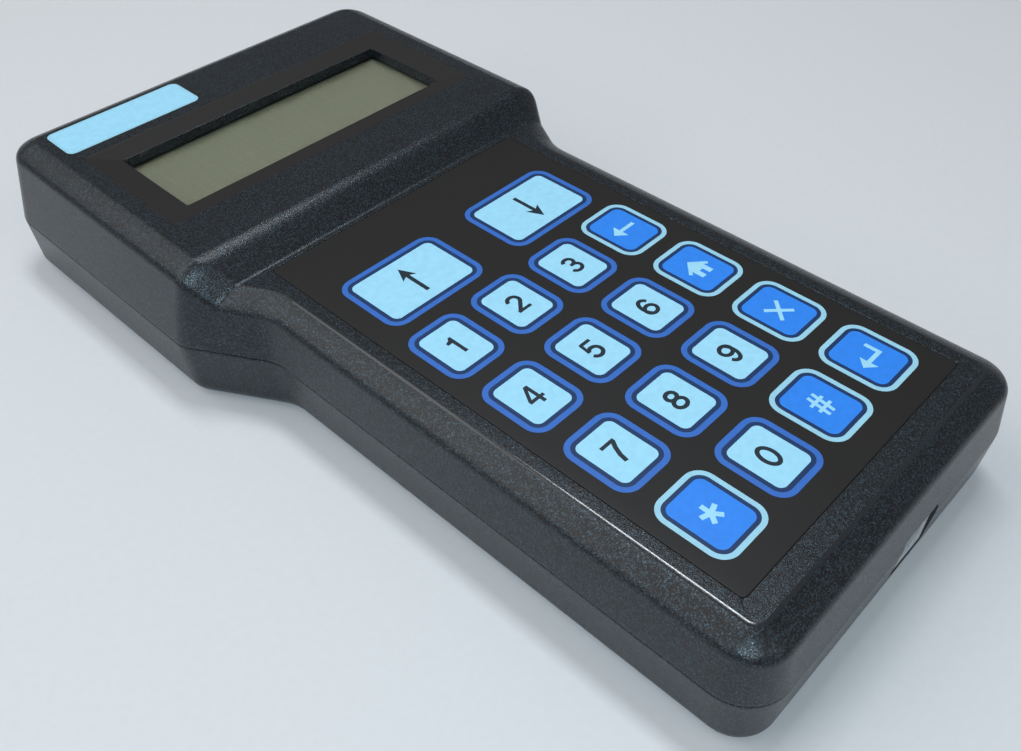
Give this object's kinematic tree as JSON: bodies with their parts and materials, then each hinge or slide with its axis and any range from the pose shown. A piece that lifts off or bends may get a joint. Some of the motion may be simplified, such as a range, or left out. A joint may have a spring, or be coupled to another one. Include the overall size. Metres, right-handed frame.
{
  "type": "handheld data terminal",
  "caption": "Handheld data collector with a raised character display head, a flat membrane keypad of digits, arrows and function keys, and a data jack in the foot end",
  "frame": {"origin": "middle of the footprint, on the surface that the back shell rests on", "axes": "+Z is out of the keypad and display, +Y points from the foot with the data jack to the display head, +X is to the right as the keypad is read"},
  "size_m": [0.125, 0.232, 0.0359],
  "materials": {
    "case_plastic": "fine spark-eroded grain, satin black ABS",
    "overlay_film": "hard-coated matt film, near black",
    "key_print_pale": "printed under hard-coated film, pale blue",
    "key_print_blue": "printed under hard-coated film, vivid blue",
    "label_film": "printed label film, blank",
    "spacer_plastic": "translucent spacer film",
    "dome_steel": "bright stamped steel",
    "circuit_film": "amber circuit film",
    "connector_plastic": "moulded connector plastic",
    "clear_window": "clear polycarbonate pane",
    "gasket_foam": "closed-cell foam strip",
    "black_frame": "black-painted stamped steel",
    "lcd_cell": "olive display cell behind a polariser",
    "light_guide": "cream light guide",
    "circuit_board": "green solder mask on glass epoxy",
    "chip_epoxy": "moulded epoxy packages",
    "capacitor_sleeve": "dark blue shrink sleeve",
    "screw_steel": "zinc-plated steel",
    "jack_plastic": "light grey moulded plastic",
    "contact_gold": "gold-plated spring wire"
  },
  "bodies": {
    "case": {"front_shell": "case_plastic", "back_shell": "case_plastic", "keypad_overlay": "overlay_film", "dome_spacer": "spacer_plastic", "snap_domes": "dome_steel", "keypad_circuit": "circuit_film", "tail_connector": "connector_plastic", "name_label": "label_film", "display_window": "clear_window", "lcd_gasket": "gasket_foam", "lcd_frame": "black_frame", "lcd_glass": "lcd_cell", "lcd_backlight": "light_guide", "lcd_board": "circuit_board", "lcd_screws": "screw_steel", "lcd_header": "connector_plastic", "lcd_socket": "connector_plastic", "main_board": "circuit_board", "board_chips": "chip_epoxy", "board_capacitors": "capacitor_sleeve", "crystal": "screw_steel", "board_screws": "screw_steel", "data_jack": "jack_plastic", "jack_contacts": "contact_gold", "case_screws": "screw_steel"},
    "key_up_pad": {"key_up": "key_print_pale"},
    "key_down_pad": {"key_down": "key_print_pale"},
    "key_1_pad": {"key_1": "key_print_pale"},
    "key_2_pad": {"key_2": "key_print_pale"},
    "key_3_pad": {"key_3": "key_print_pale"},
    "key_4_pad": {"key_4": "key_print_pale"},
    "key_5_pad": {"key_5": "key_print_pale"},
    "key_6_pad": {"key_6": "key_print_pale"},
    "key_7_pad": {"key_7": "key_print_pale"},
    "key_8_pad": {"key_8": "key_print_pale"},
    "key_9_pad": {"key_9": "key_print_pale"},
    "key_0_pad": {"key_0": "key_print_pale"},
    "key_star_pad": {"key_star": "key_print_blue"},
    "key_hash_pad": {"key_hash": "key_print_blue"},
    "key_back_pad": {"key_back": "key_print_blue"},
    "key_home_pad": {"key_home": "key_print_blue"},
    "key_clear_pad": {"key_clear": "key_print_blue"},
    "key_enter_pad": {"key_enter": "key_print_blue"}
  },
  "joints": [
    {"name": "press_key_up", "type": "slide", "parent": "case", "child": "key_up_pad", "axis": [0, 0, -1], "range_m": [0, 0.0004], "stiffness_N_per_m": 1500, "springref_m": -0.0002},
    {"name": "press_key_down", "type": "slide", "parent": "case", "child": "key_down_pad", "axis": [0, 0, -1], "range_m": [0, 0.0004], "stiffness_N_per_m": 1500, "springref_m": -0.0002},
    {"name": "press_key_1", "type": "slide", "parent": "case", "child": "key_1_pad", "axis": [0, 0, -1], "range_m": [0, 0.0004], "stiffness_N_per_m": 1500, "springref_m": -0.0002},
    {"name": "press_key_2", "type": "slide", "parent": "case", "child": "key_2_pad", "axis": [0, 0, -1], "range_m": [0, 0.0004], "stiffness_N_per_m": 1500, "springref_m": -0.0002},
    {"name": "press_key_3", "type": "slide", "parent": "case", "child": "key_3_pad", "axis": [0, 0, -1], "range_m": [0, 0.0004], "stiffness_N_per_m": 1500, "springref_m": -0.0002},
    {"name": "press_key_4", "type": "slide", "parent": "case", "child": "key_4_pad", "axis": [0, 0, -1], "range_m": [0, 0.0004], "stiffness_N_per_m": 1500, "springref_m": -0.0002},
    {"name": "press_key_5", "type": "slide", "parent": "case", "child": "key_5_pad", "axis": [0, 0, -1], "range_m": [0, 0.0004], "stiffness_N_per_m": 1500, "springref_m": -0.0002},
    {"name": "press_key_6", "type": "slide", "parent": "case", "child": "key_6_pad", "axis": [0, 0, -1], "range_m": [0, 0.0004], "stiffness_N_per_m": 1500, "springref_m": -0.0002},
    {"name": "press_key_7", "type": "slide", "parent": "case", "child": "key_7_pad", "axis": [0, 0, -1], "range_m": [0, 0.0004], "stiffness_N_per_m": 1500, "springref_m": -0.0002},
    {"name": "press_key_8", "type": "slide", "parent": "case", "child": "key_8_pad", "axis": [0, 0, -1], "range_m": [0, 0.0004], "stiffness_N_per_m": 1500, "springref_m": -0.0002},
    {"name": "press_key_9", "type": "slide", "parent": "case", "child": "key_9_pad", "axis": [0, 0, -1], "range_m": [0, 0.0004], "stiffness_N_per_m": 1500, "springref_m": -0.0002},
    {"name": "press_key_0", "type": "slide", "parent": "case", "child": "key_0_pad", "axis": [0, 0, -1], "range_m": [0, 0.0004], "stiffness_N_per_m": 1500, "springref_m": -0.0002},
    {"name": "press_key_star", "type": "slide", "parent": "case", "child": "key_star_pad", "axis": [0, 0, -1], "range_m": [0, 0.0004], "stiffness_N_per_m": 1500, "springref_m": -0.0002},
    {"name": "press_key_hash", "type": "slide", "parent": "case", "child": "key_hash_pad", "axis": [0, 0, -1], "range_m": [0, 0.0004], "stiffness_N_per_m": 1500, "springref_m": -0.0002},
    {"name": "press_key_back", "type": "slide", "parent": "case", "child": "key_back_pad", "axis": [0, 0, -1], "range_m": [0, 0.0004], "stiffness_N_per_m": 1500, "springref_m": -0.0002},
    {"name": "press_key_home", "type": "slide", "parent": "case", "child": "key_home_pad", "axis": [0, 0, -1], "range_m": [0, 0.0004], "stiffness_N_per_m": 1500, "springref_m": -0.0002},
    {"name": "press_key_clear", "type": "slide", "parent": "case", "child": "key_clear_pad", "axis": [0, 0, -1], "range_m": [0, 0.0004], "stiffness_N_per_m": 1500, "springref_m": -0.0002},
    {"name": "press_key_enter", "type": "slide", "parent": "case", "child": "key_enter_pad", "axis": [0, 0, -1], "range_m": [0, 0.0004], "stiffness_N_per_m": 1500, "springref_m": -0.0002}
  ]
}
